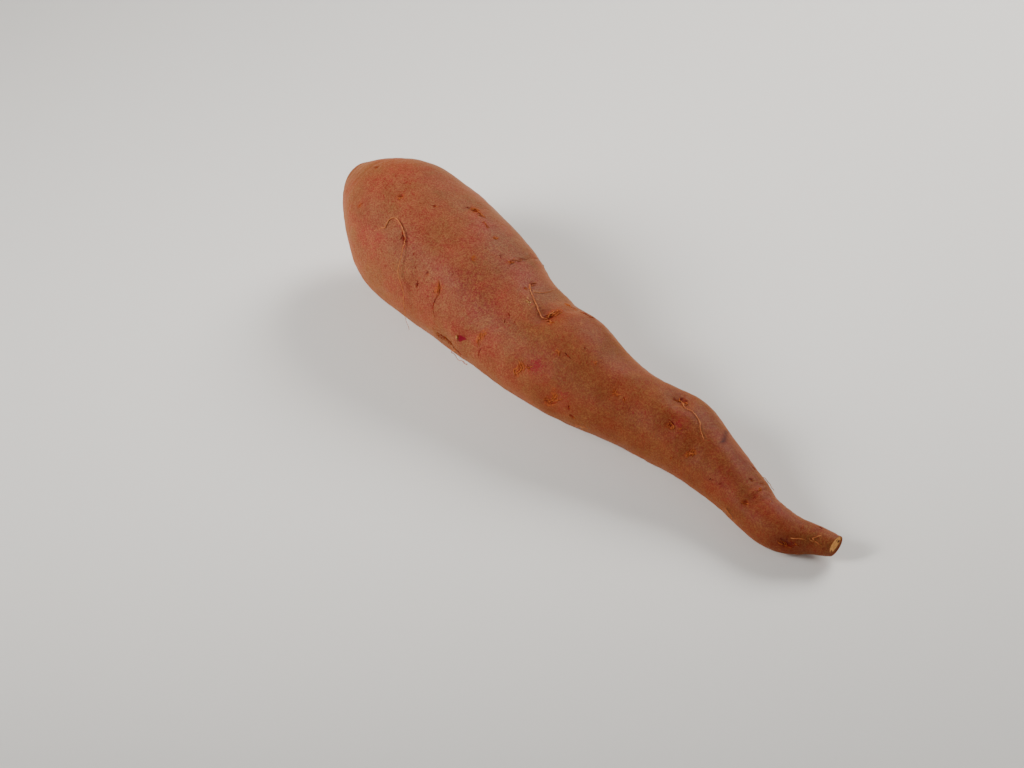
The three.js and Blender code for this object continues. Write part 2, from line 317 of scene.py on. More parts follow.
# %% Lay out the near side's marks
# distance, turn, half length, half width, lean in degrees, crust, dark, depth in mm
MARKS = [
    (52, 5, 0.9, 0.8, 30, 0.4, 0.9, 0.12),
    (60, -17, 0.8, 0.9, 0, 0.2, 1.0, 0.15),
    (62.5, -21, 2.0, 1.8, 30, 1.0, 0.7, 0.15),
    (67, -20, 1.9, 0.7, -15, 0.5, 0.8, 0.1),
    (72, -17, 1.6, 0.6, 20, 0.7, 0.4, 0.0),
    (79, -16, 0.9, 1.3, 0, 0.8, 0.5, 0.1),
    (54, 42, 3.0, 0.8, 20, 0.1, 0.9, 0.35),
    (62, 46, 0.7, 1.2, 0, 0.1, 0.7, 0.1),
    (67, 53, 0.5, 0.8, 0, 0.2, 0.8, 0.1),
    (73, 50, 1.2, 1.3, 0, 0.5, 0.8, 0.1),
    (71, 64, 0.7, 1.5, 25, 0.2, 1.0, 0.2),
    (80, 54, 1.5, 2.8, -10, 0.8, 0.1, -0.08),
    (82, 13, 0.8, 0.9, 0, 0.9, 0.3, 0.0),
    (86, -8, 0.5, 0.5, 0, 0.2, 1.0, 0.1),
    (90, -14, 0.8, 2.2, 10, 0.7, 0.3, 0.05),
    (90, -24, 0.6, 1.4, 0, 0.5, 0.1, 0.0),
    (105, -8, 1.0, 1.8, 20, 0.6, 0.5, 0.1),
    (104.5, -19, 1.0, 1.9, 15, 0.7, 0.6, 0.12),
    (124, -1, 1.4, 2.2, 0, 0.8, 1.0, 0.4),
    (124.6, -4, 0.9, 1.3, 0, 0.1, 1.5, 0.4),
    (124, -13, 1.2, 2.6, 20, 0.9, 0.6, 0.1),
    (127, 4, 1.2, 1.2, 0, 0.9, 0.6, 0.1),
    (122, -37, 1.0, 1.6, -30, 0.9, 0.5, 0.0),
    (126, -38, 1.6, 0.9, 10, 0.8, 0.6, 0.1),
    (132, -40, 2.2, 1.0, 10, 0.6, 0.9, 0.15),
    (107, 62, 1.2, 3.6, 10, 1.0, 0.0, 0.0),
    (137, 29, 0.9, 0.9, 0, 0.8, 0.4, 0.1),
    (150, 12, 1.2, 1.2, 0, 0.7, 0.1, 0.0),
    (127, 70, 1.3, 3.2, 15, 1.0, 0.5, 0.1),
    (131, 62, 1.0, 1.6, -40, 0.6, 0.3, 0.0),
    (143, 88, 1.6, 2.4, 30, 0.9, 0.9, 0.2),
    (144, 76, 1.2, 2.8, -20, 0.9, 0.7, 0.1),
    (151, 79, 0.8, 1.0, 0, 0.4, 1.0, 0.2),
    (153, 90, 1.0, 0.9, 0, 0.5, 1.0, 0.3),
    (91, 98, 5.0, 1.9, 0, 0.3, 1.0, 0.3),
    (98, 100, 2.4, 1.2, 0, 0.3, 1.0, 0.3),
    (164, 30, 1.6, 1.2, 40, 0.7, 0.3, 0.0),
    (169, 31, 1.0, 1.4, -30, 0.6, 0.3, 0.0),
    (187, -19, 1.3, 1.7, 0, 0.6, 1.3, 0.5),
    (185, -11, 0.8, 0.9, 0, 0.3, 1.0, 0.2),
    (190, 32, 1.7, 1.6, 0, 0.6, 0.7, 0.2),
    (195, 27, 1.0, 1.6, 30, 0.2, 0.7, 0.1),
    (203, 50, 0.9, 1.8, 20, 1.0, 0.4, 0.1),
    (204, 42, 1.2, 1.2, 0, 1.0, 0.4, 0.1),
    (198, 73, 0.7, 0.8, 0, 0.4, 0.9, 0.2),
    (223, -41, 1.0, 1.6, 20, 0.1, 0.8, 0.1),
    (228, -10, 0.8, 1.4, 30, 0.3, 0.9, 0.1),
    (231, -30, 0.6, 0.8, 0, 0.3, 0.7, 0.1),
    (234, -14, 1.0, 1.0, 0, 0.8, 0.4, 0.1),
    (218, 55, 0.8, 1.0, 0, 0.2, 0.7, 0.1),
    (236, 10, 0.7, 1.2, 0, 0.2, 0.8, 0.12),
    (235, 34, 1.2, 1.6, 30, 0.5, 0.7, 0.2),
    (241, -12, 0.8, 0.9, 0, 0.6, 0.6, 0.1),
    (254, 76, 1.7, 2.2, 0, 0.6, 1.0, 0.4),
    (252, 62, 0.7, 0.7, 0, 0.2, 1.0, 0.1),
    (263, -22, 0.6, 0.8, 0, 0.2, 1.0, 0.15),
    (257, 12, 0.5, 1.8, 0, 0.3, 0.8, 0.1),
    (36, 18, 1.3, 1.6, 0, 0.8, 0.7, 0.2),
    (24, 52, 1.0, 1.6, 20, 0.8, 0.5, 0.1),
    (222, 48, 0.7, 1.0, 30, 0.2, 0.9, 0.12),
    (15, 10, 1.2, 1.0, 0, 0.4, 0.9, 0.2),
]
print("the near side has", len(MARKS), "marks")

# %% [markdown]
# Side roots grow in rows along a sweet potato. So the far side's marks are dealt out down four
# rows, each mark a chance distance from the last, and smaller where the root is thin. The draw is
# seeded, so they fall in the same places on every run.

# %% Deal out the far side's marks
FAR_ROWS = (-165, -122, -78, 142)  # turns, in degrees
draw = random.Random(417)
for row in FAR_ROWS:
    distance = 14.0 + draw.uniform(0, 10)
    while distance < LENGTH - 8:
        size = draw.uniform(0.8, 1.8) * (0.5 + half_at(distance) / 40)
        MARKS.append((
            distance, row + draw.uniform(-12, 12), size, size * draw.uniform(0.9, 1.7),
            draw.uniform(-40, 40), draw.uniform(0.4, 1), draw.uniform(0.2, 1), draw.uniform(0, 0.4),
        ))
        distance += draw.uniform(10, 26)
print("both sides have", len(MARKS), "marks")

# %% [markdown]
# Two helpers measure the skin for a mark. One tells how far every vertex lies from a place, along
# the root and round it. The other turns that into closeness to the mark's middle, for its size
# and its lean. The relief and the colours are both worked out from these.

# %% Measure the skin from a mark
MARK_REACH = 2.2  # in half sizes of a mark


def offsets(at, turned):
    """How far every vertex lies from a place, in mm along the root and round it."""
    apart = turn - math.radians(turned)
    apart = np.arctan2(np.sin(apart), np.cos(apart))
    return along - at, apart * half_at(float(at))


def closeness(at, turned, long, wide, lean):
    """1 in the middle of a mark, 0 from its reach on, and straight in between."""
    lengthways, round_it = offsets(at, turned)
    c = math.cos(math.radians(lean))
    s = math.sin(math.radians(lean))
    u = (lengthways * c + round_it * s) / long
    v = (round_it * c - lengthways * s) / wide
    return np.clip(1 - np.hypot(u, v) / MARK_REACH, 0, 1)


print("the first mark covers", int((closeness(*MARKS[0][:5]) > 0).sum()), "vertices")

# %% [markdown]
# The relief is pressed into the skin by moving each vertex along its normal: pits and lips at
# the marks, folds where the tail bends, and low bulges. Moving vertices by a rule gives the same
# skin on every run. Rough bark rings the vine scar, so crust and dark start from there.

# %% Shape the marks, folds and bulges
# distance, from turn, to turn, half width in mm, depth in mm
FOLDS = [
    (231.5, -50, 34, 0.9, 0.28), (235.0, -42, 44, 0.8, 0.32), (238.4, -30, 52, 0.8, 0.22),
    (90.5, -62, -18, 0.9, 0.30), (246.5, -70, 10, 0.8, 0.16), (117.0, -40, -4, 1.4, 0.12),
    (176.0, -66, -20, 1.6, 0.12), (12.0, -60, 60, 1.2, 0.12), (262.5, -40, 70, 0.7, 0.18),
]
# distance, turn, reach along, reach round, height in mm
BULGES = [
    (76, -54, 15, 13, 0.9), (114, -58, 8, 8, 1.3), (174, -30, 9, 8, 1.1), (124, 0, 5, 6, -0.5),
    (186, -14, 4, 4, -0.4), (253, 76, 4, 3, -0.3),
]
LIP = 0.12  # height of the lip round a mark, in mm
COLLAR = 1.6  # reach of the rough bark round the vine scar, in mm
height = np.zeros(len(points))
collar = np.exp(-((along / COLLAR) ** 2))
crust = 0.4 * collar
dark = 0.75 * collar
for at, turned, long, wide, lean, crusty, barky, deep in MARKS:
    near_it = closeness(at, turned, long, wide, lean)
    crust = np.maximum(crust, near_it * crusty)
    dark = np.maximum(dark, near_it * barky)
    # a pit with steep sides, and a lip round it
    height -= deep * np.clip(near_it * 1.9 - 0.9, 0, 1) ** 0.7 * 0.9
    height += LIP * np.exp(-(((near_it - 0.42) / 0.12) ** 2)) * (near_it > 0)
for at, first, last, wide, deep in FOLDS:
    middle_turn = (first + last) / 2
    lengthways, round_it = offsets(at, middle_turn)
    reach = math.radians(last - first) / 2 * half_at(float(at))
    # a fold wanders a little, fades out at both ends and has a lip on either side
    wander = 0.5 * np.sin(round_it / 2.3 + at)
    fade = np.clip(1 - (np.abs(round_it) / reach) ** 2, 0, 1)
    groove = np.exp(-(((lengthways + wander) / wide) ** 2))
    lips = np.exp(-(((np.abs(lengthways + wander) - 1.9 * wide) / wide) ** 2))
    height += fade * (0.35 * lips - groove) * deep
for at, turned, long, wide, high in BULGES:
    lengthways, round_it = offsets(at, turned)
    height += high * np.exp(-((lengthways / long) ** 2) - (round_it / wide) ** 2)
print("marks, folds and bulges run from", height.min().round(2), "to", height.max().round(2), "mm")

# %% [markdown]
# The fine unevenness is soft noise in three sizes. The faint hoops are a wave along the root,
# bent by noise and kept to both ends. Nothing is pressed into the end faces or into the spot
# that the root rests on.

# %% Add the unevenness and the hoops
HOOP_HEIGHT = 0.05  # in mm
HOOP_PACE = 1.9  # of the wave, in radians to a mm


def unevenness(where, size, seed):
    """Soft noise from -1 to 1 with features of a size in mm."""
    shift = Vector((seed, 2 * seed, 3 * seed))
    scaled = where / size
    return np.array([noise.noise(Vector(p) + shift) for p in scaled])


stretched = np.stack([along * 1.5, points[:, 1], points[:, 2]], -1)
for deep, where, size, seed in (
    (0.16, points, 9.0, 3.1), (0.10, stretched, 3.4, 7.7), (0.05, stretched, 1.6, 5.3),
):
    height += deep * unevenness(where, size, seed)
ends = np.clip(1 - along / 30, 0, 1) + np.clip(1 - (LENGTH - along) / 34, 0, 1)
hoops = np.sin(along * HOOP_PACE + 3.0 * unevenness(points, 7.0, 9.4))
height += HOOP_HEIGHT * ends * hoops * np.clip(0.5 + unevenness(points, 10.0, 2.2), 0, 1)
above_floor = np.clip(points[:, 2] / 1.2, 0, 1)
inside_ends = np.clip(from_ends(points) - 0.6, 0, 1)
normals = read_vertices(skin, "normal")
moved = points + normals * (height * (inside_ends * above_floor))[:, None]
moved[:, 2] = np.maximum(moved[:, 2], 0.0)
skin.data.vertices.foreach_set("co", (moved * MM).astype(np.float32).ravel())
skin.data.update()
print("the relief runs from", height.min().round(2), "to", height.max().round(2), "mm")

# %% [markdown]
# What the eye takes for colour is laid down beside the relief: crust, dark bark, red blushes,
# grey dust, berry red scuffs and dark bruises are stored on the vertices as soft fields, and the
# material breaks them up with fine noise. A soft field stays sharp when it is cut at a level, so
# a mark can be crisper than the mesh.

# %% Lay out the blushes, dust and bruises
# distance, turn, reach along, reach round, strength
BLUSHES = [
    (84, 34, 11, 12, 0.8), (99, 34, 12, 11, 0.9), (78, 66, 10, 8, 0.6), (72, 12, 9, 7, 0.5),
    (100, 68, 10, 8, 0.5), (62, 30, 16, 14, 0.35), (147, 72, 4, 5, 1.0), (192, 26, 6, 5, 1.0),
    (222, 0, 14, 12, 0.6), (240, -10, 10, 9, 0.5), (137, -42, 9, 5, 0.8), (134, 20, 3, 4, 0.4),
    (104, -12, 4, 5, 0.7), (45, 35, 4, 10, 0.4), (60, -140, 20, 16, 0.6), (120, -110, 22, 14, 0.6),
    (185, 180, 18, 12, 0.5), (30, -40, 12, 14, 0.4), (160, 14, 6, 4, 0.5), (175, 25, 8, 7, 0.5),
]
DUSTS = [
    (69, 29, 4, 3.5, 1.0), (65, 1, 3, 3, 0.8), (118, 2, 9, 8, 1.0), (128, 22, 12, 9, 0.6),
    (172, 2, 9, 7, 1.0), (186, -10, 6, 5, 0.7), (95, -40, 9, 10, 0.4), (228, -26, 5, 5, 0.8),
    (260, 10, 7, 8, 0.7), (112, 2, 2, 2, 1.3), (150, 40, 10, 8, 0.35), (20, 100, 14, 12, 0.5),
    (90, 170, 26, 14, 0.6), (150, -150, 20, 12, 0.6), (97, 26, 1.6, 1.6, 1.0),
    (140, 11, 12, 8, 0.7), (48, -10, 14, 12, 0.4), (58, 72, 12, 9, 0.4), (150, -36, 13, 8, 0.8),
    (188, -42, 9, 5, 0.7), (231, 8, 5, 5, 0.6),
]
BERRIES = [
    (133, 54, 2.6, 3.2, 1.1), (131.6, 60, 2.0, 2.4, 0.85), (148, 68, 1.8, 2.2, 0.6),
    (192, 24, 1.8, 2.2, 0.55), (137, -44, 3.0, 1.2, 0.6),
]
# a dark streak that runs aslant, as a row of patches
STREAK = [(205.4 + 0.9 * i, -40 + 7 * i, 0.62, 1.6, 1.6) for i in range(5)]
BRUISES = STREAK + [
    (222, -40, 4.4, 3.6, 0.5), (230, 20, 10, 1.4, 0.3),
    (253, 72, 3.2, 3.6, 0.55), (131, 58, 1.4, 1.8, 0.35),
]


def patches(rows):
    field = np.zeros(len(points))
    for at, turned, long, wide, strength in rows:
        lengthways, round_it = offsets(at, turned)
        patch = np.exp(-((lengthways / long) ** 2) - (round_it / wide) ** 2)
        field = np.maximum(field, strength * patch)
    return field


def store(name, values):
    """Keeps one number for each vertex of the skin, under a name that a material can read."""
    attribute = skin.data.attributes.new(name, "FLOAT", "POINT")
    attribute.data.foreach_set("value", np.asarray(values, np.float32))


# painted shade: the deeper a hollow, the darker its bark is painted
HOLLOW_SHADE_SHARE = 2.2  # how fast a hollow darkens with its depth
fields = {
    "along": along, "crust": crust, "dark": dark, "blush": patches(BLUSHES),
    "dust": patches(DUSTS), "berry": patches(BERRIES), "bruise": patches(BRUISES),
    "hollow_shade": np.clip(-height * HOLLOW_SHADE_SHARE, 0, 1),
}
for name, values in fields.items():
    store(name, values)
print("stored", sorted(fields))

# %% [markdown]
# Three fields have forms of their own. The nick is a small three-cornered chip that shows the red
# under the bark, so a vertex stores how far inside all three sides it lies. On the two end faces
# the ring field says how far a vertex lies from the pale middle, and the bundle field marks the
# dark ends of the root's veins.

# %% Store the nick, the rings and the bundles
NICK = [(98, 85), (97.6, 75.6), (101.4, 74.8)]  # its corners, as distance and turn
# beside the spine, above it and half width, in mm
BUNDLES = [(1.9, -1.6, 0.55), (-2.3, 0.8, 0.7), (-1.0, 2.4, 0.35)]
PITH_ABOVE = 1.2  # how far the cut's pale middle sits above the spine, in mm

corners = [offsets(at, turned) for at, turned in NICK]
sides = []
for (u, v), (p, q) in zip(corners, corners[1:] + corners[:1]):
    run = np.hypot(u[0] - p[0], v[0] - q[0])
    sides.append((u * q - v * p) / run)
store("nick", np.clip(0.5 + 0.5 * np.min(sides, axis=0), 0, 1))
centre, ahead, near, up = section(along)
from_axis = moved - centre
from_axis -= (from_axis * ahead).sum(-1, keepdims=True) * ahead
pith = np.where(along > LENGTH / 2, PITH_ABOVE, 0.0)
store("ring", np.linalg.norm(from_axis - up * pith[:, None], axis=-1))
beside = (from_axis * near).sum(-1)
above = (from_axis * up).sum(-1)
bundle = [np.clip(1 - np.hypot(beside - a, above - b) / (2 * r), 0, 1) for a, b, r in BUNDLES]
store("bundle", np.max(bundle, axis=0))
select_only(skin)
bpy.ops.object.shade_smooth()
print("the nick covers", int((np.min(sides, axis=0) > 0).sum()), "vertices")

# %% [markdown]
# Thin things lie on the skin: rootlets, cracks and cork. To put them there, a ray is cast from the
# spine outwards at a place, and where it leaves the skin is the spot. That way they touch the
# real surface, bumps included.

# %% Find spots on the finished skin
surface = BVHTree.FromObject(skin, bpy.context.evaluated_depsgraph_get())


def on_skin(distance, turned, lift=0.0):
    """The spot on the skin at a place, raised by a lift in mm."""
    centre, _, near, up = section(float(distance))
    angle = math.radians(turned)
    way = Vector(near * math.sin(angle) + up * math.cos(angle) * HEIGHT_SHARE).normalized()
    origin = Vector(centre * MM)
    spot, normal, _, _ = surface.ray_cast(origin, way)
    if spot is None:
        spot = origin + way * half_at(float(distance)) * MM
        normal = way
    return spot + normal * lift * MM


print("the top of the fat part is", round(on_skin(45, 0).z / MM, 1), "mm high")

# %% [markdown]
# Threads do all the thin work. A thread is a fine round tube through a few places on the skin,
# thinned at its tip or at both ends. Many threads of one stuff are drawn in one curve object,
# which is then turned into a mesh, so that each tube is round and closed.

# %% A tool for threads


def smooth_path(places, count):
    """Evenly read places between the given ones, on a smooth curve."""
    steps = np.arange(len(places), dtype=float)
    rows = [(s, *p) for s, p in zip(steps, places)]
    reads = [curve_through(rows, c + 1) for c in range(len(places[0]))]
    return [[float(r(t)) for r in reads] for t in np.linspace(0, steps[-1], count)]


def new_object(name, data):
    made = bpy.data.objects.new(name, data)
    bpy.context.scene.collection.objects.link(made)
    return made


def threads(name, rows, round_steps=1):
    """One mesh of many threads. A row is a list of spots in metres and one of half widths in mm."""
    curve = bpy.data.curves.new(name, "CURVE")
    curve.dimensions = "3D"
    curve.bevel_depth = MM
    curve.bevel_resolution = round_steps
    curve.use_fill_caps = True
    for spots, halves in rows:
        spline = curve.splines.new("POLY")
        spline.points.add(len(spots) - 1)
        for point, spot, half in zip(spline.points, spots, halves):
            point.co = (*spot, 1)
            point.radius = half
    select_only(new_object(name, curve))
    bpy.ops.object.convert(target="MESH")
    bpy.ops.object.shade_smooth()
    return bpy.context.object


print("a path through two places has its middle at", smooth_path([(0, 0), (2, 4)], 3)[1])

# %% [markdown]
# Rootlets are hair roots that dried where they lay. Each starts in the skin, rises a little and
# wanders on, thinning to its tip, and some hang free at the end. The last number of a row is how
# far the tip stands off the skin.

# %% Draw the rootlets
# places as (distance, turn), half thickness, lift and lift of the tip, in mm
ROOTLETS = [
    ([(36, 64), (41, 49), (43, 45), (42, 39), (44, 34), (49, 35), (54.4, 40), (56, 43), (58.6, 51),
      (61.8, 65), (66.8, 72), (70, 84), (72.6, 95), (75, 103)], 0.19, 0.4, 5.5),
    ([(124.5, 0), (124, 3), (122.6, 5), (120, 3), (115, -2), (110, -7), (108, -9), (104, -15)],
      0.20, 0.5, 0.3),
    ([(124, 0), (123.4, -5), (124, -11)], 0.19, 0.5, 0.8),
    ([(108, -9), (110, -17), (111, -26), (110, -38), (108.6, -54)], 0.11, 0.25, 0.3),
    ([(187, -18), (188, -12), (190, -5), (192, -8), (194, -7), (197, -3), (200, 7), (204, 14)],
      0.17, 0.4, 0.6),
    ([(186, -20), (187.4, -15), (188.6, -13)], 0.17, 0.4, 0.5),
    ([(97, 100), (95, 108), (98, 116), (102, 112), (101, 104)], 0.16, 1.0, 1.6),
    ([(230, 80), (232, 83), (234.5, 85)], 0.26, 0.7, 1.1),
    ([(266.4, 58), (264, 49), (261.6, 40), (262.6, 32), (264.6, 20)], 0.21, 0.4, 0.7),
    ([(263.2, 50), (260.6, 46), (260.2, 40)], 0.14, 0.3, 0.5),
    ([(254, 52), (256, 49), (257.8, 47.5), (258.8, 50)], 0.15, 0.3, 0.7),
    ([(154, 106), (157, 100), (160, 95)], 0.17, 0.6, 0.9),
    ([(227, -50), (231, -62), (235, -58)], 0.16, 0.5, 0.6),
    ([(4, 150), (7, 157), (14, 158), (18, 170), (29, 172), (33, 166), (35, 169)], 0.2, 0.7, 1.4),
    ([(3, -70), (6, -86), (12, -87), (16, -98), (26, -97), (31, -106), (38, -104)], 0.2, 0.6, 1.2),
    ([(78, -122), (82, -126), (91, -124), (95, -129), (107, -121)], 0.18, 0.6, 1.0),
    ([(136, -78), (132, -84), (133, -96), (138, -99), (147, -98)], 0.17, 0.6, 1.0),
    ([(165, -165), (168, -158), (176, -155), (180, -146), (188, -147)], 0.17, 0.6, 1.0),
]
ROOTED = 0.5  # how deep a rootlet starts in the skin, in mm
wave = random.Random(23)


def rootlet(places, half, lift, tip_lift):
    """The spots and half widths of one rootlet, which wavers a little on its way."""
    count = 7 * len(places)
    phase = wave.uniform(0, 6)
    spots = []
    halves = []
    for i, (distance, turned) in enumerate(smooth_path(places, count)):
        share = i / (count - 1)
        rise = lift * (1 + 0.3 * math.sin(i * 0.8 + phase)) + (tip_lift - lift) * share ** 3
        rise = -ROOTED + (rise + ROOTED) * min(1.0, share * 7)
        jitter = Vector((wave.gauss(0, 0.05), wave.gauss(0, 0.05), wave.gauss(0, 0.03)))
        spots.append(on_skin(distance, turned, rise) + jitter * MM)
        halves.append(half * (1 - 0.45 * share ** 1.5) * wave.uniform(0.85, 1.12))
    return spots, halves


rootlets = threads("rootlets", [rootlet(*row) for row in ROOTLETS], round_steps=2)
print("the rootlets have", len(rootlets.data.polygons), "faces")

# %% [markdown]
# Splits show as thin dark lines, and cork flakes as short tan ones, with a few pale crumbs among
# them. All are too fine for the mesh of the skin, so they are short threads that lie almost flush
# in it. The longer ones are where this root has them.

# %% Lay out the splits and flakes
# places as (distance, turn), half thickness in mm
SPLITS = [
    ([(81.4, 59), (81.2, 64), (81.6, 70), (82.6, 75), (84.4, 80)], 0.28),
    ([(109.2, 72), (108.6, 78), (108.8, 87)], 0.28),
    ([(88.6, -21), (90.6, -30), (90.4, -38)], 0.13), ([(90, -44), (89, -57)], 0.12),
    ([(97.8, 85), (97.4, 80), (97.5, 76)], 0.28),
    ([(138.8, 24.6), (140, 25.4), (142.4, 26.2)], 0.30), ([(142.6, 4.5), (143.4, 7)], 0.30),
    ([(110.6, 25.6), (112.4, 26.6)], 0.28), ([(111.6, 32), (112.6, 36)], 0.28),
    ([(115.2, 27.6), (116, 29.6)], 0.24), ([(50.5, 37), (53, 41), (56.5, 46)], 0.30),
    ([(70.2, 61), (71.2, 64), (71.8, 68)], 0.32), ([(78.8, 58), (79.8, 60)], 0.2),
    ([(143, 92), (144.4, 88), (146, 82)], 0.30), ([(126, 64), (127, 68), (128.6, 74)], 0.24),
    ([(203, 43), (204.5, 47), (203.5, 51)], 0.24), ([(188, 26), (190.5, 27), (192, 32)], 0.22),
    ([(105, -24), (104, -18), (105.5, -15)], 0.2), ([(104.4, -9), (105.6, -5)], 0.2),
    ([(62, -17), (64, -21), (68, -19)], 0.26), ([(59.6, -17), (60.6, -18)], 0.3),
    ([(129, -37), (132, -39), (135, -42)], 0.32), ([(122.6, -2), (124, -1), (125.4, 2)], 0.4),
    ([(186, -21), (187.4, -18), (188.2, -15)], 0.4), ([(252, 68), (253, 78), (256, 86)], 0.34),
    ([(254.6, 64), (256, 72), (255, 80)], 0.26), ([(150.4, 76), (151.4, 81)], 0.34),
    ([(152, 87), (153.6, 92)], 0.34), ([(240, -8), (241.4, -14)], 0.2),
    ([(84, 94), (90, 98), (97, 100), (102, 101)], 0.24),
]
FLAKES = [
    ([(78.2, 47), (79.8, 50), (80.8, 54), (80.2, 59)], 0.22),
    ([(79.4, 52), (81.4, 56), (81.0, 62)], 0.17), ([(61, -18), (62, -22), (63.5, -24)], 0.34),
    ([(63, -22), (66, -21), (69, -22)], 0.24), ([(70, -18), (72, -17), (74, -16)], 0.24),
    ([(78.5, -13), (79.3, -16), (79, -19)], 0.3), ([(81, 11), (82, 15), (83.4, 14)], 0.24),
    ([(89, -11), (90.4, -14), (90.2, -18)], 0.22), ([(89.6, -18), (91, -22), (90.4, -27)], 0.16),
    ([(104, -15), (106, -12), (107, -13)], 0.3),
    ([(123.6, -4), (124.8, -9), (124.6, -14), (123.2, -18)], 0.34),
    ([(125.4, -6), (126, -11), (125, -16)], 0.26), ([(125.4, 1), (127.4, 4), (128.6, 2)], 0.3),
    ([(120.6, -36), (122.6, -38), (124.6, -37)], 0.3),
    ([(105.6, 58), (107, 63), (106.6, 69), (108, 73)], 0.18), ([(107.6, 56), (108.4, 61)], 0.22),
    ([(125.6, 60), (127.6, 66), (127.4, 72), (125.8, 78)], 0.34),
    ([(126, 70), (124.8, 74), (126.4, 80)], 0.28), ([(129, 64), (131, 61), (132, 57)], 0.24),
    ([(136, 27), (137.6, 29), (138.2, 32)], 0.26),
    ([(141.8, 92), (143.4, 86), (144.6, 79), (144.4, 73)], 0.34),
    ([(144, 84), (146, 79), (147.6, 72)], 0.26), ([(140.6, 90), (141.2, 84)], 0.26),
    ([(163, 27), (164.6, 31), (166, 33)], 0.24),
    ([(189, 28), (191.4, 30), (191.6, 35), (189.6, 37)], 0.26),
    ([(202, 51), (203.8, 46), (206, 41)], 0.34), ([(202.6, 56), (203, 50)], 0.28),
    ([(184.6, -9), (186.4, -14), (185.4, -20)], 0.26),
    ([(187.6, -22), (189, -18), (188.8, -13)], 0.26), ([(233, -12), (234.6, -16)], 0.26),
    ([(251, 74), (252.4, 82), (255, 88)], 0.22), ([(122.4, -1), (123, -7), (122.6, -12)], 0.16),
    ([(124.6, -12), (126.2, -15), (126, -19)], 0.14),
    ([(142.4, 90), (144, 83), (146.2, 77)], 0.16),
    ([(126.4, 58), (128.6, 63), (129.4, 70)], 0.15), ([(255.6, 66), (257, 74)], 0.24),
]
PALE_FLAKES = [
    ([(111.2, 3.4), (112, 2.4), (113.2, 3)], 0.26), ([(112.8, 0.4), (113.4, 1.6)], 0.2),
    ([(113.6, 4.4), (114.2, 5.2)], 0.16), ([(110, -1.2), (110.8, -0.2)], 0.15),
    ([(96.4, 78), (97, 80), (96.7, 82)], 0.5),
]
print(len(SPLITS), "splits,", len(FLAKES), "flakes and", len(PALE_FLAKES), "pale crumbs")

# %% [markdown]
# Besides the long ones, every mark gets a small heap of short flakes and splits. A more crusty
# mark has more flakes, a darker one more splits, and a larger one more of both. They lie across
# the mark, each bent a little round its middle.

# %% Draw the splits and flakes
LONG_FLAKE_RISE = 0.16  # heights over the skin, in mm
PALE_FLAKE_RISE = 0.14
FLAKE_RISE = 0.10
SPLIT_RISE = -0.06
LONG_SPLIT_SUNK = 0.45  # in half thicknesses
chance = random.Random(77)


def sliver(places, half, rise, count):
    """A thread thinned at both ends, lying at a height in mm over the skin."""
    spots = []
    halves = []
    for i, (distance, turned) in enumerate(smooth_path(places, count)):
        swell = math.sin(math.pi * (i + 0.6) / (count + 0.2)) ** 0.7
        spots.append(on_skin(distance, turned, rise * swell))
        halves.append(half * swell)
    return spots, halves


def heap(mark):
    """The short flakes and splits of one mark, as two lists."""
    at, turned, long, wide, lean, crusty, barky, _ = mark
    per_mm = math.degrees(1 / half_at(float(at)))
    size = math.sqrt(long * wide)
    cork = []
    dark_ones = []
    for kind, share, rise in ((cork, crusty, FLAKE_RISE), (dark_ones, barky, SPLIT_RISE)):
        for _ in range(round(share * (0.8 + 1.7 * size))):
            u = chance.uniform(-1.1, 1.1) * long
            v = chance.gauss(0, 0.35) * wide
            course = math.radians(lean + 90 + chance.gauss(0, 20))
            reach = chance.uniform(0.5, 1.1) * (0.5 + 0.45 * size)
            bend = (0.25 if u > 0 else -0.25) * chance.uniform(0.4, 1.6) * reach
            dx = math.cos(course)
            dy = math.sin(course)
            places = [
                (at + u + dx * s - dy * b, turned + (v + dy * s + dx * b) * per_mm)
                for s, b in ((-reach, 0), (0, bend), (reach, 0))
            ]
            kind.append(sliver(places, chance.uniform(0.11, 0.21), rise, 6))
    return cork, dark_ones


heaps = [heap(mark) for mark in MARKS]
long_flakes = [sliver(places, half, LONG_FLAKE_RISE, 12) for places, half in FLAKES]
flakes = threads("flakes", long_flakes + [row for cork, _ in heaps for row in cork])
crumbs = [sliver(places, half, PALE_FLAKE_RISE, 5) for places, half in PALE_FLAKES]
pale_flakes = threads("pale_flakes", crumbs)
long_ones = [sliver(places, half, -LONG_SPLIT_SUNK * half, 14) for places, half in SPLITS]
splits = threads("splits", long_ones + [row for _, dark_ones in heaps for row in dark_ones])
print("flakes", len(flakes.data.polygons), "faces, splits", len(splits.data.polygons), "faces")

# %% [markdown]
# Finishes. The skin of a sweet potato is thin bark: tan to copper, freckled, blushed red where it
# is freshest and greyed by dried soil. Every pattern reads the object's own coordinates in
# millimetres, or the distance stored on the skin. A few helpers keep the shader trees short to
# write: one feeds a node's inputs, the others add one kind of node each.

# %% Helpers for shader trees


def feed(tree, node, values):
    """Joins sockets to a node's inputs, or sets them, by name or number."""
    for key, value in values.items():
        if isinstance(value, bpy.types.NodeSocket):
            tree.links.new(value, node.inputs[key])
        else:
            node.inputs[key].default_value = value


def add_node(tree, kind, links=None, **settings):
    """Adds a shader node, sets its settings and feeds its inputs."""
    made = tree.nodes.new(kind)
    for key, value in settings.items():
        setattr(made, key, value)
    feed(tree, made, links or {})
    return made


def math_node(tree, operation, a, b=0.0, c=None, clamp=False):
    links = {0: a, 1: b}
    if c is not None:
        links[2] = c
    return add_node(tree, "ShaderNodeMath", links, operation=operation, use_clamp=clamp).outputs[0]


def mix_colour(tree, share, a, b, mode="MIX"):
    links = {0: share, 6: a, 7: b}
    return add_node(tree, "ShaderNodeMix", links, data_type="RGBA", blend_type=mode).outputs[2]


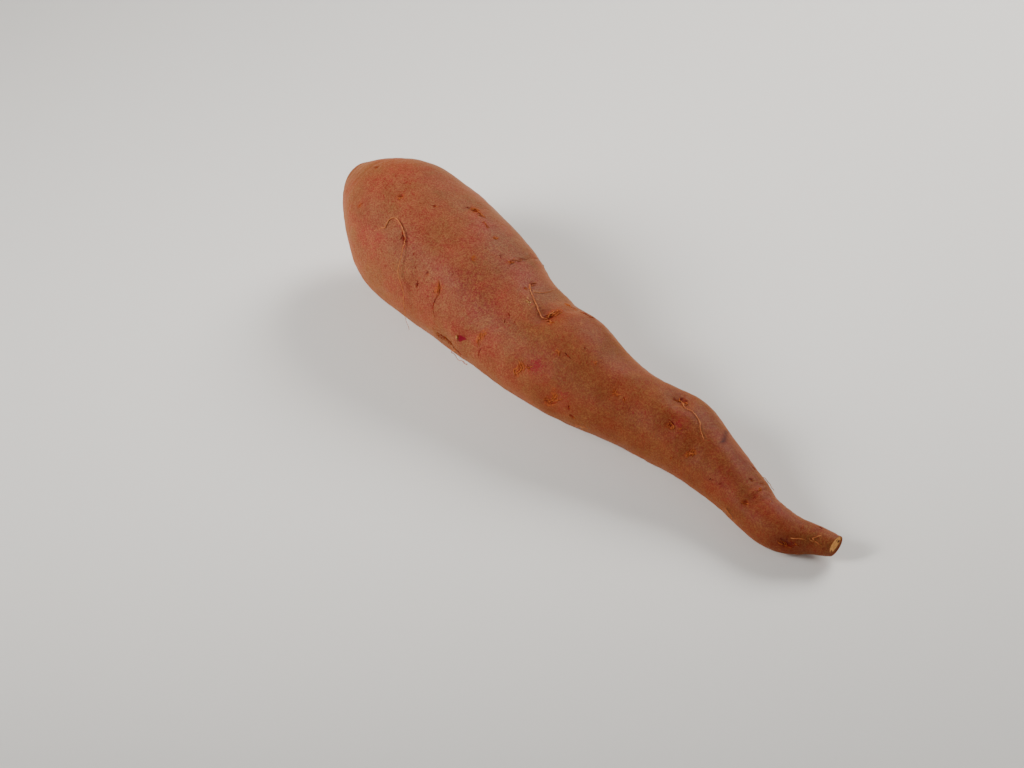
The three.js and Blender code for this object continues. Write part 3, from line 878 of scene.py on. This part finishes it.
def ramp_between(tree, value, low, high):
    """0 where the value is under low, 1 where it is over high, and smooth between them."""
    links = {"Value": value, "From Min": low, "From Max": high}
    made = add_node(tree, "ShaderNodeMapRange", links, interpolation_type="SMOOTHSTEP")
    return made.outputs["Result"]


def use_group(tree, group, links):
    return add_node(tree, "ShaderNodeGroup", links, node_tree=group).outputs


def new_group(name, inputs, outputs):
    """A shader group. An input has a starting value, or none where it is a vector."""
    tree = bpy.data.node_groups.new(name, "ShaderNodeTree")
    for socket, start in inputs.items():
        kind = "NodeSocketVector" if start is None else "NodeSocketFloat"
        made = tree.interface.new_socket(socket, in_out="INPUT", socket_type=kind)
        if start is not None:
            made.default_value = start
    for socket in outputs:
        tree.interface.new_socket(socket, in_out="OUTPUT", socket_type="NodeSocketFloat")
    entry = tree.nodes.new("NodeGroupInput")
    leave = tree.nodes.new("NodeGroupOutput")
    return tree, entry.outputs, leave.inputs


print("shader trees are built with Blender", bpy.app.version_string)

# %% [markdown]
# Mottle is the workhorse: soft noise of a given size, cut between two levels into a mask. The
# cork, the rootlets and the cut use it too, each with values of its own. Dashes are the short
# dark breathing pores of the bark. They lie across the root, so their cells are squeezed along
# it, and only some cells hold one.

# %% The Mottle and Dashes groups
mottle, taken, given = new_group(
    "Mottle",
    {"Vector": None, "Size": 3.0, "Seed": 0.0, "Low": 0.4, "High": 0.6, "Detail": 3.0, "Warp": 0.0},
    ["Mask", "Noise"],
)
per_mm = math_node(mottle, "DIVIDE", 1.0, taken["Size"])
grain = add_node(
    mottle, "ShaderNodeTexNoise",
    {"Vector": taken["Vector"], "W": taken["Seed"], "Scale": per_mm, "Detail": taken["Detail"],
     "Distortion": taken["Warp"]},
    noise_dimensions="4D",
).outputs["Fac"]
mottle.links.new(ramp_between(mottle, grain, taken["Low"], taken["High"]), given["Mask"])
mottle.links.new(grain, given["Noise"])

dashes, taken, given = new_group("Dashes", {"Vector": None, "Reach": 0.16, "Share": 0.5}, ["Mask"])
cells = add_node(
    dashes, "ShaderNodeTexVoronoi", {"Vector": taken["Vector"], "Scale": 1.0, "Randomness": 1.0},
    voronoi_dimensions="3D", feature="F1",
)
chosen = add_node(dashes, "ShaderNodeSeparateColor", {"Color": cells.outputs["Color"]})
held = math_node(dashes, "LESS_THAN", chosen.outputs[0], taken["Share"])
vary = math_node(dashes, "MULTIPLY_ADD", chosen.outputs[1], 0.6, 0.5)
reach = math_node(dashes, "MULTIPLY", math_node(dashes, "MULTIPLY", taken["Reach"], vary), held)
inner = math_node(dashes, "MULTIPLY", reach, 0.45)
outside = ramp_between(dashes, cells.outputs["Distance"], inner, reach)
gone = math_node(dashes, "SUBTRACT", 1.0, outside)
dashes.links.new(math_node(dashes, "MULTIPLY", gone, held), given["Mask"])
print("groups:", sorted(g.name for g in bpy.data.node_groups))

# %% [markdown]
# The colours are named once, as the eye sees them, and turned into the shader's linear measure.
# None of them shows alone: they are laid over each other like thin glazes of paint.

# %% The colours of the bark


def linear(red, green, blue):
    """A colour given as the eye names it, 0 to 255, in the shader's linear measure."""
    def one(c):
        c /= 255
        return c / 12.92 if c <= 0.04045 else ((c + 0.055) / 1.055) ** 2.4
    return (one(red), one(green), one(blue), 1.0)


OLIVE = linear(115, 74, 43)
ROSE = linear(136, 55, 42)
BRICK = linear(104, 34, 18)
MAUVE = linear(134, 57, 46)
UMBER_TAIL_SHADE = linear(102, 46, 14)
# partly painted shade: the umber glaze darkens the tail as shade would
TAN = linear(130, 78, 52)
BLUSH = linear(116, 18, 36)
DUST = linear(114, 80, 46)
PALE = linear(164, 106, 64)
RED_GRAIN = linear(104, 26, 12)
PALE_GRAIN = linear(150, 100, 60)
RUST = linear(124, 46, 22)
CRUST = linear(158, 80, 38)
BARK = linear(92, 24, 11)
BERRY = linear(124, 4, 22)
BRUISE = linear(66, 14, 10)
NICK_RED = linear(112, 0, 26)
# painted sheen: a pale tan laid where the skin turns away from view
PAINTED_SHEEN = linear(180, 110, 50)
# partly painted shade: besides browning the bark, this darkens the tail as shade would
WARM_TAIL_SHADE = (1.0, 0.92, 0.74, 1.0)  # multiplied in tailwards, where the bark is browner
print("olive bark is", [round(c, 3) for c in OLIVE[:3]], "in the linear measure")

# %% [markdown]
# A new material starts with one shader and the object's coordinates in millimetres. The bark gets
# short helpers of its own. A cloud is a Mottle in it, and a glaze lays a colour over another
# where a mask is. Patterns that follow the bends of the root read a place whose first number is
# the distance along it.

# %% Tools for the bark


def new_material(name):
    material = bpy.data.materials.new(name)
    material.use_nodes = True
    tree = material.node_tree
    coords = add_node(tree, "ShaderNodeTexCoord").outputs["Object"]
    in_mm = add_node(tree, "ShaderNodeMapping", {"Vector": coords, "Scale": (1000, 1000, 1000)})
    return material, tree, tree.nodes["Principled BSDF"], in_mm.outputs[0]


def attribute(tree, name):
    return add_node(tree, "ShaderNodeAttribute", attribute_name=name).outputs["Fac"]


skin_material, bark, bark_shader, place = new_material("sweet_potato_skin")
axes = add_node(bark, "ShaderNodeSeparateXYZ", {0: place}).outputs
along_root = attribute(bark, "along")
bent = add_node(bark, "ShaderNodeCombineXYZ", {0: along_root, 1: axes[1], 2: axes[2]}).outputs[0]


def squeezed(x, y, z):
    """Places along the bent root, with a pattern squeezed by a factor each way."""
    return add_node(bark, "ShaderNodeMapping", {"Vector": bent, "Scale": (x, y, z)}).outputs[0]


def cloud(size, low, high, seed, detail=3.0, warp=0.0, vector=None, out="Mask"):
    """A Mottle in the bark, of a size in mm."""
    return use_group(bark, mottle, {
        "Vector": vector or place, "Size": size, "Low": low, "High": high, "Seed": seed,
        "Detail": detail, "Warp": warp,
    })[out]


def times(a, b):
    return math_node(bark, "MULTIPLY", a, b)


def added(a, share, base):
    """A value at a share of its strength, added to a base."""
    return math_node(bark, "MULTIPLY_ADD", a, share, base)


def glaze(under, over, mask, share, mode="MIX"):
    """Lays a colour over another where a mask is, at a share of the mask's strength."""
    strength = math_node(bark, "MULTIPLY", mask, share, clamp=True)
    return mix_colour(bark, strength, under, over, mode)


print("the bark's tree starts with", len(bark.nodes), "nodes")

# %% [markdown]
# The ground of the bark is olive and rose in soft clouds, then tan and brick clouds, umber
# towards the tail that is partly painted shade, fine mauve and olive grain, brick freckles and
# pale flecks. Thin pale hair lines run where a slow noise crosses its middle level.

# %% The ground of the bark
tailwards = ramp_between(bark, along_root, 100, 150)
fine = squeezed(1.1, 0.9, 0.9)
mauve = cloud(0.95, 0.44, 0.58, 4, 2, vector=fine)
light = cloud(1.3, 0.58, 0.70, 7, 3)
hair = cloud(8, 0, 1, 16, 2, 0.3, squeezed(0.6, 1, 1), "Noise")
from_middle = math_node(bark, "ABSOLUTE", math_node(bark, "SUBTRACT", hair, 0.5))
hair = math_node(bark, "SUBTRACT", 1.0, ramp_between(bark, from_middle, 0.004, 0.02))
colour = mix_colour(bark, cloud(13, 0.40, 0.60, 1), OLIVE, ROSE)
ground = [
    (TAN, cloud(6, 0.44, 0.62, 2, 4), 0.6),
    (BRICK, cloud(3.2, 0.48, 0.66, 3, 4, 0.6), 0.30),
    # partly painted shade: umber darkens the bark towards the tail
    (UMBER_TAIL_SHADE, tailwards, 0.52),
    (MAUVE, mauve, added(tailwards, -0.2, 0.36)),
    (OLIVE, cloud(0.9, 0.46, 0.60, 5, 2, vector=fine), 0.34),
    (BRICK, cloud(1.3, 0.57, 0.68, 6, 4, 0.4), 0.34),
    (PALE, light, 0.22),
    (PALE, times(hair, cloud(4.5, 0.58, 0.64, 17)), 0.28),
]
for over, mask, share in ground:
    colour = glaze(colour, over, mask, share)
print("the ground has", len(ground), "glazes")

# %% [markdown]
# Blushes show the red under the bark in a web of fine veins, with a few stray specks of it all
# over. Dried soil lies as grey dust. The finest grain comes after them: red specks, strongest in
# some zones, and pale ones, strongest between those. Last the tail is warmed and darkened, partly
# as painted shade, and the hollows get painted shade by their depth.

# %% Blushes, dust and grain
veins = times(cloud(1.2, 0.42, 0.56, 8, 3, 0.6), cloud(4.0, 0.30, 0.56, 18))
stray = times(times(cloud(17, 0.54, 0.72, 9), cloud(1.8, 0.44, 0.62, 10, 4)), 0.6)
redden = math_node(bark, "MAXIMUM", times(attribute(bark, "blush"), veins), stray)
soil = times(attribute(bark, "dust"), cloud(1.6, 0.3, 0.62, 11, 4))
dusty = math_node(bark, "MAXIMUM", soil, times(cloud(20, 0.5, 0.75, 12), 0.35))
zones = cloud(7, 0.36, 0.62, 26, 3)
fine_red = cloud(0.5, 0.46, 0.56, 21, 6, vector=squeezed(1, 0.8, 0.8))
fine_pale = cloud(0.54, 0.47, 0.58, 22, 6)
colour = glaze(colour, BLUSH, redden, 0.7)
colour = glaze(colour, DUST, dusty, 0.6)
colour = glaze(colour, RED_GRAIN, fine_red, added(zones, 0.26, 0.40))
pale_share = added(tailwards, -0.16, added(zones, -0.14, 0.52))
colour = glaze(colour, PALE_GRAIN, fine_pale, pale_share)
# partly painted shade: the tail is multiplied browner and darker
colour = glaze(colour, WARM_TAIL_SHADE, tailwards, 0.8, "MULTIPLY")
# painted shade: the hollows are glazed darker brick by their depth
colour = glaze(colour, BRICK, attribute(bark, "hollow_shade"), 0.5)
print("the bark's tree has", len(bark.nodes), "nodes so far")

# %% [markdown]
# At a mark the bark is stained rust, with crumbs of cork on the stain and torn dark bark beside
# them. The stored fields are soft, so a ragged noise is added before each is cut at a level.
# Pores are dark dashes across the root, and smaller specks between them.

# %% Marks and pores
ragged = math_node(bark, "SUBTRACT", cloud(0.9, 0, 1, 13, 3, out="Noise"), 0.5)
crust_field = added(ragged, 0.9, attribute(bark, "crust"))
crumbled = cloud(0.8, 0.42, 0.56, 28, 4, 0.5, squeezed(1.3, 0.8, 0.8))
corky = times(ramp_between(bark, crust_field, 0.36, 0.56), crumbled)
barky = ramp_between(bark, added(ragged, -1.5, attribute(bark, "dark")), 0.56, 0.76)
pore_places = {"Vector": squeezed(0.42, 0.11, 0.11), "Reach": 0.13, "Share": 0.5}
speck_places = {"Vector": squeezed(0.5, 0.3, 0.3), "Reach": 0.10, "Share": 0.5}
specks = times(use_group(bark, dashes, speck_places)["Mask"], 0.7)
pores = math_node(bark, "MAXIMUM", use_group(bark, dashes, pore_places)["Mask"], specks)
colour = glaze(colour, RUST, ramp_between(bark, crust_field, 0.14, 0.5), 0.42)
colour = glaze(colour, mix_colour(bark, light, CRUST, PALE), corky, 0.72)
colour = glaze(colour, BARK, barky, 0.8)
colour = glaze(colour, BARK, pores, 0.6)
print("with its marks the tree has", len(bark.nodes), "nodes")

# %% [markdown]
# Where the root was scuffed, the bark is berry red, and where it was knocked, it is bruised dark.
# The nick shows clear red. A thin tan haze where the skin turns away from view is painted sheen:
# a pale glaze standing in for the light that its dry dusty surface catches there.

# %% Scuffs, bruises, the nick and the painted sheen
speckled = math_node(bark, "SUBTRACT", cloud(0.6, 0, 1, 27, 5, 0.5, out="Noise"), 0.5)
scuffed = ramp_between(bark, added(speckled, 5.0, attribute(bark, "berry")), 0.40, 0.95)
bruised = times(attribute(bark, "bruise"), cloud(1.4, 0.1, 0.42, 23))
nicked = ramp_between(bark, added(ragged, 0.5, attribute(bark, "nick")), 0.44, 0.54)
turned_away = add_node(bark, "ShaderNodeLayerWeight", {"Blend": 0.35}).outputs["Facing"]
colour = glaze(colour, BERRY, scuffed, 0.8)
colour = glaze(colour, BRUISE, bruised, 0.75)
colour = mix_colour(bark, nicked, colour, NICK_RED)
# painted sheen: the skin turned away from view is glazed pale tan
colour = glaze(colour, PAINTED_SHEEN, ramp_between(bark, turned_away, 0.2, 1.0), 0.4)
print("the whole colour has", len(bark.nodes), "nodes")

# %% [markdown]
# The bark has a dull sheen, rougher where it is dusty or corky. Bump adds what is finer than the
# mesh: soft grain, low waves, streaks across the root, raised crumbs and sunken pores. A last
# helper joins colour, roughness and relief to the shader, for every finish alike.

# %% Sheen and fine relief of the bark


def finish(tree, shader, colour, roughness, specular, relief, strength=1.0):
    """Joins a colour, a roughness and a relief in mm to a material's shader."""
    links = {"Height": relief, "Strength": strength, "Distance": MM}
    bump = add_node(tree, "ShaderNodeBump", links)
    feed(tree, shader, {
        "Base Color": colour, "Roughness": roughness, "Specular IOR Level": specular,
        "Normal": bump.outputs[0],
    })


rough = added(dusty, 0.2, added(mauve, 0.08, 0.54))
rough = math_node(bark, "MAXIMUM", rough, times(corky, 0.85))
relief = times(cloud(0.9, 0, 1, 14, 4, out="Noise"), 0.22)
for mask, high in (
    (cloud(2.4, 0, 1, 24, 2, out="Noise"), 0.25),
    (cloud(1.0, 0, 1, 15, 3, vector=squeezed(1.6, 0.35, 0.35), out="Noise"), 0.12),
    (corky, 0.10),
    (pores, -0.10),
    (barky, -0.10),
):
    relief = added(mask, high, relief)
finish(bark, bark_shader, colour, rough, 0.12, relief, 0.7)
skin.data.materials.clear()
skin.data.materials.append(skin_material)
print("the bark's tree has", len(bark.nodes), "nodes in all")

# %% [markdown]
# The thin pieces need only two close colours in fine mottles: dry tan for the rootlets, copper
# for the cork, pale tan for the crumbs and dark red brown for the splits. One function makes all
# four, because they differ only in their values.

# %% Finishes of the thin pieces
# piece, name, two colours, size of the mottles in mm, roughness, depth of the bump in mm
THIN_FINISHES = [
    (rootlets, "dry_rootlet", (190, 118, 70), (156, 86, 48), 2.0, 0.7, 0.05),
    (flakes, "cork_flake", (166, 90, 46), (118, 50, 25), 1.1, 0.8, 0.1),
    (pale_flakes, "pale_cork", (190, 148, 94), (150, 104, 58), 1.1, 0.8, 0.1),
    (splits, "dark_split", (116, 26, 13), (70, 14, 8), 1.0, 0.9, 0.1),
]


def thin_material(name, base, other, size, roughness, deep):
    material, tree, shader, place = new_material(name)
    mottled = use_group(tree, mottle, {"Vector": place, "Size": size, "Low": 0.38, "High": 0.62})
    colour = mix_colour(tree, mottled["Mask"], linear(*base), linear(*other))
    relief = math_node(tree, "MULTIPLY", mottled["Noise"], deep)
    finish(tree, shader, colour, roughness, 0.08, relief)
    return material


for piece, *values in THIN_FINISHES:
    piece.data.materials.clear()
    piece.data.materials.append(thin_material(*values))
print("materials:", sorted(m.name for m in bpy.data.materials if m.users))

# %% [markdown]
# The tail was cut with a knife and the cut has dried: a pale tan disc with a darker rim and a few
# dark bundles. The fat end has the corky scar of the vine. Both are the end faces of the skin, so
# they take a finish of their own there: the faces near an end that look along the root.

# %% The two end faces
# distance, way out along the root, reach in mm, name, middle, rim, bundles, start of the rim in mm
ENDS = [
    (LENGTH, 1, 9.0, "dried_cut", (236, 168, 90), (132, 66, 32), (84, 36, 14), 4.0),
    (0, -1, 6.3, "vine_scar", (132, 88, 54), (92, 44, 24), (46, 22, 12), 5.2),
]
END_DEPTH = 2.2  # how far inside an end its faces may lie, in mm
END_FACING = 0.75  # how squarely they look out, as a cosine


def end_material(name, base, rim, spot, rim_from):
    """A disc that darkens to its rim, with dark bundles and fine grain."""
    base, rim, spot = (linear(*named) for named in (base, rim, spot))
    material, tree, shader, place = new_material(name)
    links = {"Vector": place, "Size": 1.1, "Low": 0.38, "High": 0.62, "Seed": 31.0}
    grain = use_group(tree, mottle, links)
    blots = math_node(tree, "MULTIPLY_ADD", grain["Noise"], 1.2, attribute(tree, "bundle"))
    far = math_node(tree, "MULTIPLY_ADD", grain["Noise"], 2.2, attribute(tree, "ring"))
    colour = mix_colour(tree, math_node(tree, "MULTIPLY", grain["Mask"], 0.32), base, rim)
    colour = mix_colour(tree, ramp_between(tree, blots, 0.85, 1.25), colour, spot)
    colour = mix_colour(tree, ramp_between(tree, far, rim_from, rim_from + 1.0), colour, rim)
    finish(tree, shader, colour, 0.75, 0.12, math_node(tree, "MULTIPLY", grain["Noise"], 0.3))
    return material


for slot, (at, side, wide, *values) in enumerate(ENDS, start=1):
    skin.data.materials.append(end_material(*values))
    centre, ahead, _, _ = section(float(at))
    for face in skin.data.polygons:
        offset = np.array(face.center) / MM - centre
        near_end = np.linalg.norm(offset) < wide and offset @ ahead * side > -END_DEPTH
        if near_end and np.array(face.normal) @ ahead * side > END_FACING:
            face.material_index = slot
print("end faces:", sum(face.material_index > 0 for face in skin.data.polygons))

# %% [markdown]
# The stage: a plain pale floor and soft light from the upper right, behind the root. The camera
# looks down at the near side from 44 degrees, past the tail towards the fat end.

# %% Floor, light and camera
FLOOR_SIZE = 6.0
FLOOR_COLOUR = (0.80, 0.79, 0.77, 1)
CAMERA_PLACE = Vector((0.6025, -0.6576, 0.8683))
CAMERA_LOOKS = Vector((-0.50204, 0.51517, -0.69466))
FOCAL_PIXELS = 3000  # the photograph's focal length
PHOTO_WIDTH = 1024  # in pixels
SENSOR_WIDTH = 36  # in mm
LIGHT_COLOUR = (1.0, 0.97, 0.93)
SKY_STRENGTH = 0.22

bpy.ops.object.select_all(action="DESELECT")
bpy.ops.mesh.primitive_plane_add(size=FLOOR_SIZE, location=(0, 0, 0))
floor = bpy.context.object
floor.name = "floor"
floor_material = bpy.data.materials.new("pale_floor")
floor_material.use_nodes = True
floor_tree = floor_material.node_tree
floor_shader = floor_tree.nodes["Principled BSDF"]
feed(floor_tree, floor_shader, {"Base Color": FLOOR_COLOUR, "Roughness": 0.9})
floor.data.materials.append(floor_material)

camera = new_object("camera", bpy.data.cameras.new("camera"))
camera.location = CAMERA_PLACE
camera.rotation_euler = CAMERA_LOOKS.to_track_quat("-Z", "Y").to_euler()
camera.data.sensor_width = SENSOR_WIDTH
camera.data.lens = FOCAL_PIXELS / PHOTO_WIDTH * SENSOR_WIDTH
camera.data.clip_start = 0.01
bpy.context.scene.camera = camera


def soft_light(name, place, aim, size, power, spread):
    """A round area light that shines from a place at an aim."""
    lamp = bpy.data.lights.new(name, "AREA")
    lamp.shape = "DISK"
    lamp.size = size
    lamp.energy = power
    lamp.color = LIGHT_COLOUR
    lamp.spread = math.radians(spread)
    light = new_object(name, lamp)
    light.location = place
    light.rotation_euler = (Vector(aim) - Vector(place)).to_track_quat("-Z", "Y").to_euler()


soft_light("window", (-0.10, 0.90, 0.74), (-0.05, 0, 0.02), size=0.6, power=15.2, spread=180)
soft_light("near_fill", (-0.42, -0.64, 0.50), (-0.09, 0, 0.03), size=0.5, power=1.0, spread=40)
world = bpy.data.worlds.new("studio")
bpy.context.scene.world = world
world.use_nodes = True
sky = {"Color": (*LIGHT_COLOUR, 1), "Strength": SKY_STRENGTH}
feed(world.node_tree, world.node_tree.nodes["Background"], sky)
print("the camera stands", round(CAMERA_PLACE.length, 2), "m from the middle of the floor")

# %% [markdown]
# Last, every piece is told what it rides on, and the measured model is hidden.

# %% Attach the pieces to the root
for piece in (skin, rootlets, flakes, pale_flakes, splits):
    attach(piece, "root")
    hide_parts(NODE)
